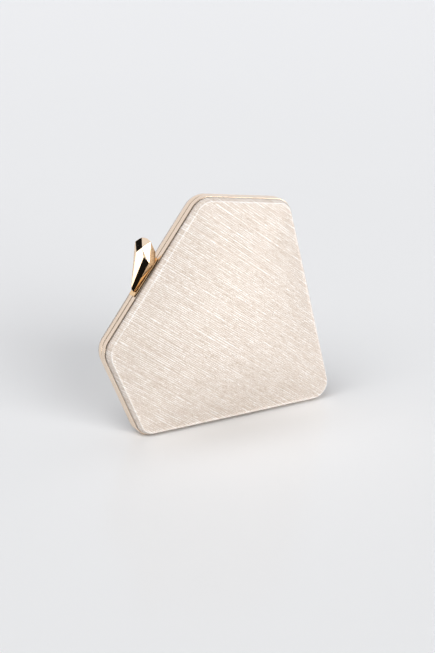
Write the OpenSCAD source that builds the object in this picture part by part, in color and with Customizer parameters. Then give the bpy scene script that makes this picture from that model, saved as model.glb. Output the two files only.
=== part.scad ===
// Minaudiere: a hard box clutch with the outline of a cut gem.
// Two framed shells hinge at the tip and close at the crown edge, where a faceted clasp sits.
// The bag is drawn upright, crown edge on top, and stand() then lays it on one of its long edges.
// Front is -Y, back is +Y, and the joint between the halves is the plane y = 0.

/* [Outline] */
// Width across the two girdle corners, before rounding
girdle_w = 184; // [160:1:210]
// Width of the crown edge that carries the clasp, before rounding
table_w = 117; // [100:1:130]
// Height from the girdle line up to the crown edge
crown_h = 59.5; // [50:0.5:70]
// Depth from the girdle line down to the tip
pavilion_h = 120; // [105:1:135]
// Rounding of the two girdle corners
girdle_r = 12.5; // [10:0.5:16]
// Rounding of the two crown corners
table_r = 15; // [11:0.5:18]
// Rounding of the tip
tip_r = 13; // [12:0.5:15]

/* [Frames] */
// Depth of one frame band, from the joint plane to its outer edge
band_h = 4.3; // [4.1:0.1:5.5]
// Gap between the two bands when the bag is closed
joint_gap = 0.3; // [0.2:0.05:0.5]
// Solid depth of a band between the joint plane and the channel
web_t = 2.4; // [2.4:0.1:3]
// Thickness of the band's lip that shows
outer_lip_t = 0.8; // [0.7:0.1:1.1]
// Thickness of the band's hidden inner lip
inner_lip_t = 0.8; // [0.6:0.1:1.2]
// Rounding of the band's outer edges
edge_r = 0.6; // [0.3:0.1:0.6]

/* [Shells] */
// Height of the straight side wall above the band
wall_h = 1.3; // [0.8:0.1:4]
// Rounding where the side wall turns into the face
rim_r = 3.2; // [2.8:0.1:4.5]
// Crown of the padded outer face above its rim
face_puff = 6; // [5.5:0.5:10]
// Crown of the hard shell above its rim
shell_puff = 4; // [2:0.5:4.5]
// Thickness of the cover fabric
cover_t = 0.5; // [0.3:0.1:0.8]
// Thickness of the hard shell
shell_t = 1; // [0.8:0.1:1.4]
// Thickness of the lining board
board_t = 0.8; // [0.6:0.1:1]
// Thickness of the lining cloth
lining_t = 0.4; // [0.3:0.1:0.6]
// Rounding of the lining board's inner edge
board_r = 2.3; // [1.8:0.1:2.6]
// Air between two layers that lie on each other
layer_gap = 0.06; // [0.04:0.01:0.1]

/* [Hinge] */
// Distance of the hinge axis inside the outermost point of the tip
hinge_inset = 1.9; // [1.8:0.1:2.2]
// Outer radius of the hinge knuckles
knuckle_r = 1.6; // [1.5:0.1:1.9]
// Length of all three knuckles together
hinge_len = 11.6; // [9:0.2:12]
// Length of the middle knuckle
mid_knuckle_len = 5; // [3:0.5:6]
// Radius of the hinge pin
hinge_pin_r = 0.7; // [0.5:0.05:0.9]
// Gap around and beside a knuckle
knuckle_gap = 0.3; // [0.2:0.05:0.4]
// Radial gap between a pin and the bore that turns on it
run_gap = 0.05; // [0.03:0.01:0.08]
// Radial gap between a pin and the bore that holds it
seat_gap = 0.01; // [0.01:0.005:0.02]
// How far the front half opens, in degrees
open_max = 75; // [60:1:90]

/* [Clasp] */
// Length of the clasp gem along the crown edge
gem_l = 33.2; // [28:0.2:40]
// Height of the clasp gem above its foot plate
gem_h = 18.8; // [14:0.2:22]
// Width of the clasp gem across the frame bands
gem_w = 10.4; // [8.6:0.2:12]
// How far the gem sits past the middle of the crown edge, towards its thick end
gem_offset = 1.2; // [0:0.1:2]
// How far the foot plate reaches past the gem's thin end
foot_reach = 2.3; // [1:0.1:4]
// Width of the foot plate
foot_w = 6.6; // [6:0.1:7.4]
// Thickness of the foot plate
foot_t = 0.6; // [0.5:0.1:1]
// Gap between the foot plate and the bands
foot_gap = 0.35; // [0.3:0.05:0.6]
// Thickness of the lever's shank, across the joint
shank_t = 2; // [1.6:0.1:2.2]
// Width of the lever's shank along the crown edge
shank_w = 8; // [7:0.5:9]
// Radius of the two pegs that hold the gem on its foot plate
peg_r = 0.8; // [0.6:0.1:1]
// How far the clasp tilts back, in degrees
tilt_max = 8; // [5:1:9]

/* [Latch] */
// Depth of the lever's pivot below the outline
pivot_drop = 6; // [6:0.1:7]
// Distance of the lever's pivot behind the joint plane
pivot_back = 4.5; // [4.4:0.1:4.8]
// Radius of the lever's pivot pin
pivot_pin_r = 0.8; // [0.6:0.05:0.8]
// Radius of the lever's boss and of the bracket's ears
boss_r = 1.6; // [1.5:0.1:1.7]
// Height of the lever's arm
arm_t = 1.8; // [1.4:0.1:1.9]
// Sheet thickness of the bracket and of the catch
sheet_t = 0.8; // [0.6:0.1:0.8]
// Half the length of the bracket and of the catch along the crown edge
plate_half_l = 13; // [12:0.5:16]
// Distance of the rivets from the middle of the crown edge
rivet_x = 9.8; // [8.6:0.2:10.4]
// Distance of the rivets from the joint plane
rivet_y = 1.5; // [1.4:0.05:1.7]
// Radius of a rivet's shank
rivet_r = 0.6; // [0.5:0.05:0.65]
// Radius of a rivet's head
rivet_head_r = 1.1; // [0.9:0.1:1.2]
// Height of a rivet's head
rivet_head_t = 0.5; // [0.4:0.1:0.8]
// Depth of a rivet in its band
rivet_bite = 1.6; // [1.2:0.1:2]
// Gap between moving pieces of the latch
latch_gap = 0.3; // [0.25:0.05:0.4]
// Wire radius of the latch spring
spring_wire_r = 0.2; // [0.15:0.05:0.2]
// Full turns of the latch spring, besides the part turn between its legs
spring_turns = 2; // [1:1:3]

/* [Hidden] */
$fn = 96;

gold = [0.86, 0.72, 0.55];
champagne = [0.86, 0.81, 0.75];
satin = [0.8, 0.74, 0.67];
card = [0.62, 0.58, 0.52];
foam = [0.93, 0.92, 0.88];
shell_grey = [0.5, 0.5, 0.52];
steel = [0.7, 0.7, 0.72];

// Overrun of a cut past the face that it opens
over = 0.5;
// Rise of a band's outer face from its edges to its middle, and the share of it that is flat there
band_bulge = 0.12;
band_flat_share = 0.4;
// Room at the blind end of a rivet's hole
hole_spare = 0.5;
// Spare angle of the relief at the tip, in degrees
relief_spare = 1;
// Depth of the lever's nose as a share of the shank's
nose_share = 0.6;
// Air in the spring's coil and pitch of its turns, as shares of the wire's radius
spring_air_share = 0.75;
spring_pitch_share = 2.25;
// Part turn between the spring's legs
leg_turn_share = 0.75;
// Gap between the channel and what sits in it
channel_gap = 0.1;
// Steps along each rounded corner, along each straight edge of a shell and round its rim
arc_steps = 7;
edge_steps = 3;
rim_steps = 3;
// Steps round the edges of a band
band_steps = 3;
// Rings of a face, as shares of the way from its middle to its rim
face_shares = [0.93, 0.84, 0.72, 0.58, 0.42, 0.22];
// Power of the crown's profile: a higher one gives a flatter middle
crown_power = 2.4;

// Outline

// The sharp corners from the left girdle corner round by the tip, seen from the front
sharp = [
    [-girdle_w / 2, 0], [0, -pavilion_h], [girdle_w / 2, 0],
    [table_w / 2, crown_h], [-table_w / 2, crown_h]
];
corner_r = [girdle_r, tip_r, girdle_r, table_r, table_r];
sides = len(sharp);

function unit(v) = v / norm(v);
function heading(i) = unit(sharp[(i + 1) % sides] - sharp[i % sides]);
function inward(i) = [-heading(i).y, heading(i).x];
function turn_angle(i) = acos(heading(i + sides - 1) * heading(i));
function start_angle(i) = let (out = -inward(i + sides - 1)) atan2(out.y, out.x);
function centre(i) =
    sharp[i] + unit(heading(i) - heading(i + sides - 1)) * corner_r[i] / cos(turn_angle(i) / 2);
function arc_point(i, share, inset) =
    let (a = start_angle(i) + share * turn_angle(i))
    centre(i) + (corner_r[i] - inset) * [cos(a), sin(a)];
function mix(p, q, share) = p + (q - p) * share;

// Points round the outline at an inset: each corner's arc, then the straight edge after it
function ring(inset) = [
    for (i = [0 : sides - 1])
        let (stop = arc_point(i, 1, inset), next = arc_point((i + 1) % sides, 0, inset))
        each concat(
            [for (j = [0 : arc_steps]) arc_point(i, j / arc_steps, inset)],
            [for (j = [1 : edge_steps - 1]) mix(stop, next, j / edge_steps)]
        )
];

// Middle of a face: as far from the crown edge as from the two edges that meet at the tip
pavilion_l = norm(sharp[1] - sharp[0]);
face_mid = [0, (crown_h - girdle_w / 2 * pavilion_h / pavilion_l) / (1 + girdle_w / 2 / pavilion_l)];
face_fit_r = crown_h - face_mid.y;

// The standing pose: the edge from the left girdle corner to the tip lies on z = 0
lean = atan2(pavilion_h, girdle_w / 2);
function leaned(p) = [p.x * cos(lean) - p.y * sin(lean), p.x * sin(lean) + p.y * cos(lean)];
left_x = leaned(centre(4)).x - table_r;
tip_low = centre(1).y - tip_r;
hinge_z = tip_low + hinge_inset;
right_x = max(
    leaned(centre(1)).x + tip_r,
    leaned([hinge_len / 2, hinge_z]).x + knuckle_r * sin(lean)
);
stand_shift = [-(left_x + right_x) / 2, 0, -leaned(sharp[0]).y];

module stand() {
    translate(stand_shift) rotate([0, -lean, 0]) children();
}
module on_back() {
    mirror([0, 1, 0]) children();
}
// The middle of the crown edge, where the clasp and the latch sit
module at_crown() {
    translate([0, 0, crown_h]) children();
}
// Extrudes a shape drawn in y and z along x, centred
module along_x(l) {
    rotate([90, 0, 90]) linear_extrude(l, center = true) children();
}

// Depths from the joint plane and insets from the outline
frame_low = joint_gap / 2;
band_mid = (frame_low + band_h) / 2;
band_flat = band_flat_share * (band_h - frame_low);
channel_w = cover_t + layer_gap + shell_t + 2 * channel_gap;
frame_w = outer_lip_t + channel_w + inner_lip_t;
seat_low = web_t + channel_gap;
wall_top = band_h + wall_h;
cover_in = outer_lip_t + channel_gap;
shell_in = cover_in + cover_t + layer_gap;
rim_in = cover_in + rim_r;
shell_rim_r = rim_in - shell_in;
board_in = frame_w + layer_gap;
board_top = wall_top + shell_rim_r - shell_t - layer_gap - board_r;
cloth_in = board_in + board_t + layer_gap;

// Shells, covers and linings

// One surface of a tray: its side wall, its rounded rim and its crowned face, as rings of points
function tray_rings(wall_in, low, top, fold_in, puff) =
    let (r = fold_in - wall_in, rim = ring(fold_in))
    concat(
        [[for (p = ring(wall_in)) [p.x, -low, p.y]]],
        [
            for (j = [0 : rim_steps])
                let (a = 90 * j / rim_steps)
                [for (p = ring(fold_in - r * cos(a))) [p.x, -(top + r * sin(a)), p.y]]
        ],
        face_rings(rim, top + r, puff)
    );
// Rings of a face follow the rim outside and the circle that fits the outline towards the middle
function face_rings(rim, level, puff) = [
    for (share = face_shares)
        [for (p = rim) let (q = face_point(p, share)) [q.x, -(level + puff * crown(share)), q.y]]
];
function face_point(p, share) =
    let (arm = p - face_mid)
    face_mid + unit(arm) * share * face_fit_r * pow(norm(arm) / face_fit_r, share);
function crown(share) = 1 - pow(share, crown_power);

// Faces of the closed solid between an outer and an inner set of rings, each ended by a middle point
module between(outer, inner, outer_tip, inner_tip) {
    n = len(outer[0]);
    m = len(outer);
    inner_at = n * m + 1;
    points = concat(
        [for (r = outer) each r], [outer_tip],
        [for (r = inner) each r], [inner_tip]
    );
    wall = [
        for (j = [0 : m - 2], k = [0 : n - 1])
            let (a = j * n + k, b = j * n + (k + 1) % n)
            each [[a, a + n, b], [b, a + n, b + n]]
    ];
    cap = [for (k = [0 : n - 1]) [(m - 1) * n + k, m * n, (m - 1) * n + (k + 1) % n]];
    base = [
        for (k = [0 : n - 1])
            let (a = k, b = (k + 1) % n)
            each [[a, b, inner_at + a], [b, inner_at + b, inner_at + a]]
    ];
    back = [for (f = concat(wall, cap)) [inner_at + f[0], inner_at + f[2], inner_at + f[1]]];
    polyhedron(points = points, faces = concat(wall, cap, base, back));
}

module tray(wall_in, low, top, fold_in, puff, thick) {
    r = fold_in - wall_in;
    between(
        tray_rings(wall_in, low, top, fold_in, puff),
        tray_rings(wall_in + thick, low, top, fold_in, puff),
        [face_mid.x, -(top + r + puff), face_mid.y],
        [face_mid.x, -(top + r - thick + puff), face_mid.y]
    );
}

module cover() {
    color(champagne) tray(cover_in, seat_low, wall_top, rim_in, face_puff, cover_t);
}
module shell() {
    color(shell_grey) tray(shell_in, seat_low, wall_top, rim_in, shell_puff, shell_t);
}
// Foam between shell and cover: thin at the rim, thickest in the middle of the face
module padding() {
    rim = ring(rim_in);
    outer_level = wall_top + rim_r - cover_t - layer_gap;
    inner_level = wall_top + shell_rim_r + layer_gap;
    color(foam) between(
        face_rings(rim, outer_level, face_puff),
        face_rings(rim, inner_level, shell_puff),
        [face_mid.x, -(outer_level + face_puff), face_mid.y],
        [face_mid.x, -(inner_level + shell_puff), face_mid.y]
    );
}

// Room that the latch takes from the lining at the crown edge
latch_room_l = 2 * (plate_half_l + latch_gap);
latch_room_h = pivot_drop + boss_r + 2 * sheet_t + 2 * latch_gap;
latch_room_d = pivot_back + boss_r + latch_gap;
module latch_room() {
    at_crown() translate([-latch_room_l / 2, -latch_room_d, -latch_room_h])
        cube([latch_room_l, latch_room_d, latch_room_h]);
}
// Room that the hinge's knuckles take from it at the tip
module hinge_room() {
    barrel(0, hinge_len + 2 * knuckle_gap, knuckle_r + knuckle_gap);
}
module lining_board() {
    color(card) difference() {
        tray(board_in, frame_low, board_top, board_in + board_r, shell_puff, board_t);
        latch_room();
        hinge_room();
    }
}
module lining() {
    color(satin) difference() {
        tray(cloth_in, frame_low, board_top, board_in + board_r, shell_puff, lining_t);
        latch_room();
        hinge_room();
    }
}

// Frames

function edge_turn(j) = 90 * j / band_steps;
function edge_in(j) = band_bulge + edge_r * (1 - cos(edge_turn(j)));
function edge_back(j) = edge_r * (1 - sin(edge_turn(j)));
// The section of a band, as inset and depth: a bulged outer face, and a channel for the shell's rim
band_section = concat(
    [for (j = [band_steps : -1 : 0]) [edge_in(j), frame_low + edge_back(j)]],
    [[0, band_mid - band_flat / 2], [0, band_mid + band_flat / 2]],
    [for (j = [0 : band_steps]) [edge_in(j), band_h - edge_back(j)]],
    [
        [outer_lip_t, band_h], [outer_lip_t, web_t],
        [outer_lip_t + channel_w, web_t], [outer_lip_t + channel_w, band_h - edge_r],
        [frame_w, band_h - edge_r], [frame_w, frame_low]
    ]
);
// Places round the outline where the section stands, as a corner and a share of its arc
stations = [for (i = [0 : sides - 1], j = [0 : arc_steps]) [i, j / arc_steps]];

// Carries the band's section round the whole outline
module band_ring() {
    n = len(band_section);
    m = len(stations);
    points = [
        for (s = stations, p = band_section)
            let (q = arc_point(s[0], s[1], p.x))
            [q.x, -p.y, q.y]
    ];
    skin = [
        for (j = [0 : m - 1], k = [0 : n - 1])
            let (a = j * n + k, b = j * n + (k + 1) % n, c = (j + 1) % m * n + k, d = (j + 1) % m * n + (k + 1) % n)
            each [[a, b, c], [b, d, c]]
    ];
    polyhedron(points = points, faces = skin);
}

// Hinge

side_knuckle_len = (hinge_len - mid_knuckle_len) / 2 - knuckle_gap;
side_knuckle_x = mid_knuckle_len / 2 + knuckle_gap + side_knuckle_len / 2;

module barrel(x, l, r) {
    translate([x, 0, hinge_z]) rotate([0, 90, 0]) cylinder(h = l, r = r, center = true);
}
module mid_barrel(grow) {
    barrel(0, mid_knuckle_len + 2 * grow, knuckle_r + grow);
}
module side_barrels(grow) {
    for (way = [-1, 1]) barrel(way * side_knuckle_x, side_knuckle_len + 2 * grow, knuckle_r + grow);
}
// Beyond the axis each band is cut back, so that the two meet only when the bag is wide open
module tip_relief() {
    depth = hinge_inset + over;
    spread = depth * tan(open_max / 2 + relief_spare);
    translate([0, 0, hinge_z])
        along_x(2 * tip_r)
        polygon([[0, 0], [-spread, -depth], [spread, -depth]]);
}

// Slot through both bands for the lever's shank
shank_sweep = (pivot_drop - foot_gap) * sin(tilt_max) - (pivot_back - shank_t / 2) * (1 - cos(tilt_max));
module shank_slot(depth) {
    at_crown() translate([-shank_w / 2 - latch_gap, -depth, -frame_w - over])
        cube([shank_w + 2 * latch_gap, depth, frame_w + 2 * over]);
}
module rivet_holes() {
    at_crown() for (way = [-1, 1])
        translate([way * rivet_x, -rivet_y, -frame_w - over])
        cylinder(h = rivet_bite + over, r = rivet_r + seat_gap);
}

module front_frame() {
    color(gold) stand() difference() {
        union() {
            difference() {
                band_ring();
                tip_relief();
                shank_slot(shank_t / 2 + latch_gap);
                rivet_holes();
            }
            side_barrels(0);
        }
        mid_barrel(knuckle_gap);
        barrel(0, hinge_len + 2 * over, hinge_pin_r + run_gap);
    }
}
module back_frame() {
    color(gold) stand() difference() {
        union() {
            on_back() difference() {
                band_ring();
                tip_relief();
                shank_slot(shank_t / 2 + shank_sweep + latch_gap);
                rivet_holes();
            }
            mid_barrel(0);
        }
        side_barrels(knuckle_gap);
        barrel(0, mid_knuckle_len + 2 * over, hinge_pin_r + seat_gap);
    }
}
module hinge_pin() {
    color(steel) stand() barrel(0, hinge_len, hinge_pin_r);
}

// Clasp and latch, drawn round the middle of the crown edge

foot_top = foot_gap + foot_t;
gem_start = gem_offset - gem_l / 2;
peg_shares = [0.174, 0.695];
// The foot plate: its end as a share of the gem, its width there and where it is full
foot_end_share = 0.78;
foot_taper_share = 0.86;
foot_full_share = 0.12;
foot_start = gem_start - foot_reach;
foot_l = foot_reach + foot_end_share * gem_l;
// Corners of the gem: shares of its length, of half its width and of its height
gem_side_shares = [
    [0, 0.07, 0], [0.025, 0, 0.135], [0.822, 0, 0.982], [0.894, 0, 0.918], [0.958, 0, 0.844],
    [0.997, 0, 0.651], [0.661, 0.28, 0.775], [0.795, 0.7, 0.743], [0.978, 0.36, 0.522],
    [0.659, 0.865, 0.528], [0.619, 1, 0.242], [0.868, 0.34, 0.16], [0.734, 0.55, 0], [0.65, 0.69, 0]
];
function gem_corner(s, way) = [gem_start + s[0] * gem_l, way * s[1] * gem_w / 2, foot_top + s[2] * gem_h];
gem_corners = [for (s = gem_side_shares, way = [-1, 1]) gem_corner(s, way)];

module gem_pegs(l, r) {
    for (share = peg_shares)
        translate([gem_start + share * gem_l, 0, foot_top - l]) cylinder(h = l + over, r = r);
}
module clasp_gem() {
    color(gold) stand() at_crown() {
        hull() polyhedron(points = gem_corners, faces = [[for (i = [0 : len(gem_corners) - 1]) i]]);
        gem_pegs(foot_t, peg_r);
    }
}

arm_top = -pivot_drop + arm_t / 2;
arm_low = -pivot_drop - arm_t / 2;
nose_h = foot_t;
nose_low = arm_low - nose_h;
nose_t = nose_share * shank_t;
spring_r = pivot_pin_r + (1 + spring_air_share) * spring_wire_r;
spring_half_l = (spring_turns + leg_turn_share) * spring_pitch_share * spring_wire_r / 2;
foot_points = [
    [0, foot_taper_share * foot_w], [foot_full_share * foot_l, foot_w], [foot_l, foot_w]
];

module clasp_lever() {
    color(gold) stand() at_crown() difference() {
        union() {
            translate([foot_start, 0, foot_gap]) linear_extrude(foot_t) polygon(concat(
                [for (p = foot_points) [p.x, p.y / 2]],
                [for (i = [len(foot_points) - 1 : -1 : 0]) [foot_points[i].x, -foot_points[i].y / 2]]
            ));
            translate([-shank_w / 2, -shank_t / 2, arm_low])
                cube([shank_w, shank_t, foot_gap - arm_low]);
            translate([-shank_w / 2, -shank_t / 2, arm_low])
                cube([shank_w, pivot_back + shank_t / 2, arm_t]);
            translate([-shank_w / 2, -shank_t / 2, nose_low])
                cube([shank_w, nose_t, nose_h]);
            translate([0, pivot_back, -pivot_drop]) rotate([0, 90, 0])
                cylinder(h = shank_w, r = boss_r, center = true);
        }
        translate([0, pivot_back, -pivot_drop]) rotate([0, 90, 0])
            cylinder(h = shank_w + 2 * over, r = pivot_pin_r + run_gap, center = true);
        spring_room_l = 2 * (spring_half_l + spring_wire_r + latch_gap);
        translate([-spring_room_l / 2, pivot_back - boss_r - latch_gap, -pivot_drop - boss_r - over])
            cube([spring_room_l, 2 * (boss_r + latch_gap), 2 * (boss_r + over)]);
        gem_pegs(foot_t + over, peg_r + seat_gap);
    }
}

ear_in = shank_w / 2 + latch_gap;
sheet_front = frame_low + latch_gap;
module latch_bracket() {
    color(steel) stand() at_crown() difference() {
        union() {
            translate([-plate_half_l, sheet_front, -frame_w - sheet_t])
                cube([2 * plate_half_l, pivot_back + boss_r - sheet_front, sheet_t]);
            for (way = [-1, 1]) translate([way * (ear_in + sheet_t / 2), pivot_back, 0]) {
                translate([-sheet_t / 2, -boss_r, -pivot_drop])
                    cube([sheet_t, 2 * boss_r, pivot_drop - frame_w - sheet_t / 2]);
                translate([0, 0, -pivot_drop]) rotate([0, 90, 0])
                    cylinder(h = sheet_t, r = boss_r, center = true);
            }
        }
        translate([0, pivot_back, -pivot_drop]) rotate([0, 90, 0])
            cylinder(h = 2 * (ear_in + sheet_t + over), r = pivot_pin_r + seat_gap, center = true);
        translate([-ear_in, 0, -frame_w - sheet_t - over])
            cube([2 * ear_in, shank_t / 2 + shank_sweep + latch_gap, sheet_t + 2 * over]);
        on_back() sheet_holes();
    }
}
module sheet_holes() {
    for (way = [-1, 1]) translate([way * rivet_x, -rivet_y, -frame_w - sheet_t - over])
        cylinder(h = sheet_t + 2 * over, r = rivet_r + seat_gap);
}
module rivets() {
    for (way = [-1, 1]) translate([way * rivet_x, -rivet_y, -frame_w - sheet_t]) {
        translate([0, 0, -rivet_head_t]) cylinder(h = rivet_head_t, r = rivet_head_r);
        cylinder(h = sheet_t + rivet_bite - hole_spare, r = rivet_r);
    }
}
module bracket_rivets() {
    color(steel) stand() at_crown() on_back() rivets();
}
module latch_pivot_pin() {
    color(steel) stand() at_crown() translate([0, pivot_back, -pivot_drop]) rotate([0, 90, 0])
        cylinder(h = 2 * (ear_in + sheet_t + seat_gap), r = pivot_pin_r, center = true);
}

// The catch: a strip on the front frame, a drop web and a tongue with a window under the lever's nose
tongue_half_l = ear_in + sheet_t;
tongue_top = nose_low - latch_gap;
tongue_back = pivot_back - boss_r - 2 * latch_gap;
catch_front = band_h - edge_r;
module catch_tongue() {
    color(steel) stand() at_crown() difference() {
        union() {
            translate([-plate_half_l, -catch_front, -frame_w - sheet_t])
                cube([2 * plate_half_l, catch_front - sheet_front, sheet_t]);
            translate([-tongue_half_l, -catch_front, tongue_top - sheet_t])
                cube([2 * tongue_half_l, sheet_t, -frame_w - tongue_top + sheet_t]);
            translate([-tongue_half_l, -catch_front, tongue_top - sheet_t])
                cube([2 * tongue_half_l, catch_front + tongue_back, sheet_t]);
        }
        translate([-ear_in, -shank_t / 2 - latch_gap, -frame_w - sheet_t - over])
            cube([2 * ear_in, shank_t, sheet_t + 2 * over]);
        translate([-ear_in, -shank_t / 2 - latch_gap, tongue_top - sheet_t - over])
            cube([2 * ear_in, nose_t + 3 * latch_gap, sheet_t + 2 * over]);
        sheet_holes();
    }
}
module catch_rivets() {
    color(steel) stand() at_crown() rivets();
}

// Torsion spring: one leg against the bracket, a coil round the pivot pin, one leg on the lever's arm
coil_steps = 14;
wire_sides = 6;
leg_top = -frame_w - sheet_t - spring_wire_r - layer_gap;
leg_front = shank_t / 2 + over;
coil_angle = 360 * (spring_turns + leg_turn_share);
function coil_point(share) =
    let (a = 180 + share * coil_angle)
    [
        (share * 2 - 1) * spring_half_l,
        pivot_back + spring_r * cos(a),
        -pivot_drop + spring_r * sin(a)
    ];
coil_count = coil_steps * (spring_turns + 1);
spring_path = concat(
    [[-spring_half_l, pivot_back - spring_r, leg_top]],
    [for (i = [0 : coil_count]) coil_point(i / coil_count)],
    [[spring_half_l, leg_front, -pivot_drop + spring_r]]
);
function wire_ring(path, i, r) =
    let (
        last = len(path) - 1,
        t = unit(path[min(i + 1, last)] - path[max(i - 1, 0)]),
        side = unit(cross(t, [1, 0, 0])),
        up = cross(t, side)
    )
    [for (k = [0 : wire_sides - 1]) let (a = 360 * k / wire_sides) path[i] + r * (side * cos(a) + up * sin(a))];
module wire(path, r) {
    n = wire_sides;
    last = len(path) - 1;
    points = [for (i = [0 : last]) each wire_ring(path, i, r)];
    skin = [
        for (i = [0 : last - 1], k = [0 : n - 1])
            let (a = i * n + k, b = i * n + (k + 1) % n)
            each [[a, b, a + n], [b, b + n, a + n]]
    ];
    ends = [[for (k = [n - 1 : -1 : 0]) k], [for (k = [0 : n - 1]) last * n + k]];
    polyhedron(points = points, faces = concat(skin, ends));
}
module latch_spring() {
    color(steel) stand() at_crown() wire(spring_path, spring_wire_r);
}

module back_shell() {
    stand() on_back() shell();
}
module back_padding() {
    stand() on_back() padding();
}
module back_cover() {
    stand() on_back() cover();
}
module back_lining_board() {
    stand() on_back() lining_board();
}
module back_lining() {
    stand() on_back() lining();
}
module front_shell() {
    stand() shell();
}
module front_padding() {
    stand() padding();
}
module front_cover() {
    stand() cover();
}
module front_lining_board() {
    stand() lining_board();
}
module front_lining() {
    stand() lining();
}

back_frame();
back_shell();
back_padding();
back_cover();
back_lining_board();
back_lining();
front_frame();
front_shell();
front_padding();
front_cover();
front_lining_board();
front_lining();
hinge_pin();
clasp_gem();
clasp_lever();
latch_bracket();
bracket_rivets();
latch_pivot_pin();
latch_spring();
catch_tongue();
catch_rivets();
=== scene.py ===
from math import acos, atan2, cos, exp, pi, radians, sin, tan

import bmesh
import bpy
from mathutils import Matrix, Vector, noise


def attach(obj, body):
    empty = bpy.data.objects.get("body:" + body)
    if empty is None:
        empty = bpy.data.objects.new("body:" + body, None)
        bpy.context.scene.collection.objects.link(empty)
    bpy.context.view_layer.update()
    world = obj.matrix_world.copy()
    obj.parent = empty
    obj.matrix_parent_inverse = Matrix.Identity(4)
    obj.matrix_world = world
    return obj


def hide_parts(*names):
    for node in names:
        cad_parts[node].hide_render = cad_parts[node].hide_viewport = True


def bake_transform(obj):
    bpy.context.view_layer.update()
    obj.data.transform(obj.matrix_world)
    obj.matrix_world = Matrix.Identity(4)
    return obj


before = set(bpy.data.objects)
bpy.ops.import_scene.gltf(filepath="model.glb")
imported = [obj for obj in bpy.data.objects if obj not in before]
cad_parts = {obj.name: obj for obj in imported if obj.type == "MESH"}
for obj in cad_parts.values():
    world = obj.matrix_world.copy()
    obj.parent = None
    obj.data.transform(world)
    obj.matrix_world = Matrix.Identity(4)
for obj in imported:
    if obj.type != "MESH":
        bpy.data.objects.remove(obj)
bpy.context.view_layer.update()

# Outline of the bag drawn upright, crown edge on top, in metres, as the frame's own pieces have it
outline = {
    "girdleWidth": 0.184,
    "crownWidth": 0.117,
    "crownHeight": 0.0595,
    "pavilionHeight": 0.12,
    "girdleRadius": 0.0125,
    "crownRadius": 0.015,
    "tipRadius": 0.013,
    "cornerSteps": 20,
    "edgeSpacing": 0.0022,
}
sharpCorners = [
    Vector((-outline["girdleWidth"] / 2, 0)),
    Vector((0, -outline["pavilionHeight"])),
    Vector((outline["girdleWidth"] / 2, 0)),
    Vector((outline["crownWidth"] / 2, outline["crownHeight"])),
    Vector((-outline["crownWidth"] / 2, outline["crownHeight"])),
]
cornerRadii = [
    outline["girdleRadius"], outline["tipRadius"], outline["girdleRadius"],
    outline["crownRadius"], outline["crownRadius"],
]
sides = len(sharpCorners)
crown = outline["crownHeight"]
lean = atan2(outline["pavilionHeight"], outline["girdleWidth"] / 2)
hinge = {
    "inset": 0.0019,
    "knuckleRadius": 0.0016,
    "length": 0.0116,
    "middleLength": 0.005,
    "gap": 0.0003,
    "frontBore": 0.00075,
    "backBore": 0.00071,
    "knuckleSteps": 40,
    "boreSteps": 24,
    # Half the opening of the bag and one degree to spare, cut from each band beyond the axis
    "reliefAngle": 38.5,
    "reliefHalf": 0.013,
}


def heading(i):
    return (sharpCorners[(i + 1) % sides] - sharpCorners[i % sides]).normalized()


def outwards(i):
    return Vector((heading(i).y, -heading(i).x))


def cornerCentre(i):
    turn = acos(heading(i - 1).dot(heading(i)))
    bisector = (heading(i) - heading(i - 1)).normalized()
    return sharpCorners[i] + bisector * cornerRadii[i] / cos(turn / 2), turn


def cornerPoint(i, share, inset):
    centre, turn = cornerCentre(i)
    start = outwards(i - 1)
    angle = atan2(start.y, start.x) + share * turn
    return centre + (cornerRadii[i] - inset) * Vector((cos(angle), sin(angle)))


def turned(p):
    return Vector((p[0] * cos(lean) - p[1] * sin(lean), p[0] * sin(lean) + p[1] * cos(lean)))


tipLow = cornerCentre(1)[0].y - outline["tipRadius"]
hingeHeight = tipLow + hinge["inset"]
leftmost = turned(cornerCentre(4)[0]).x - outline["crownRadius"]
rightmost = max(
    turned(cornerCentre(1)[0]).x + outline["tipRadius"],
    turned((hinge["length"] / 2, hingeHeight)).x + hinge["knuckleRadius"] * sin(lean),
)
standShift = Vector((-(leftmost + rightmost) / 2, 0, -turned(sharpCorners[0]).y))
# Lays the upright drawing on its long edge: before it x runs along the crown edge, y is the depth
# with the front at minus, and z is up
stand = Matrix.Translation(standShift) @ Matrix.Rotation(-lean, 4, "Y")


def ringPlaces():
    # Places round the outline: corner, share of its arc, share of the straight edge after it
    places = []
    for i in range(sides):
        steps = outline["cornerSteps"]
        places += [(i, j / steps, 0) for j in range(steps + 1)]
        length = (cornerPoint((i + 1) % sides, 0, 0) - cornerPoint(i, 1, 0)).length
        count = round(length / outline["edgeSpacing"])
        places += [(i, 1, j / count) for j in range(1, count)]
    return places


places = ringPlaces()


def ringPoint(place, inset):
    i, share, along = place
    here = cornerPoint(i, share, inset)
    if along:
        return here.lerp(cornerPoint((i + 1) % sides, 0, inset), along)
    return here


# Middle of the largest circle that touches the crown edge and both long edges
pavilionLength = (sharpCorners[1] - sharpCorners[0]).length
slope = outline["girdleWidth"] / 2 / pavilionLength
faceMiddle = Vector((0, (crown - outline["pavilionHeight"] * slope) / (1 + slope)))
fitRadius = crown - faceMiddle.y


def facePoint(p, share):
    # Draws a rim point in towards the middle; the rings grow rounder on the way
    arm = p - faceMiddle
    reach = share * fitRadius * (arm.length / fitRadius) ** share
    return faceMiddle + arm.normalized() * reach


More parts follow.
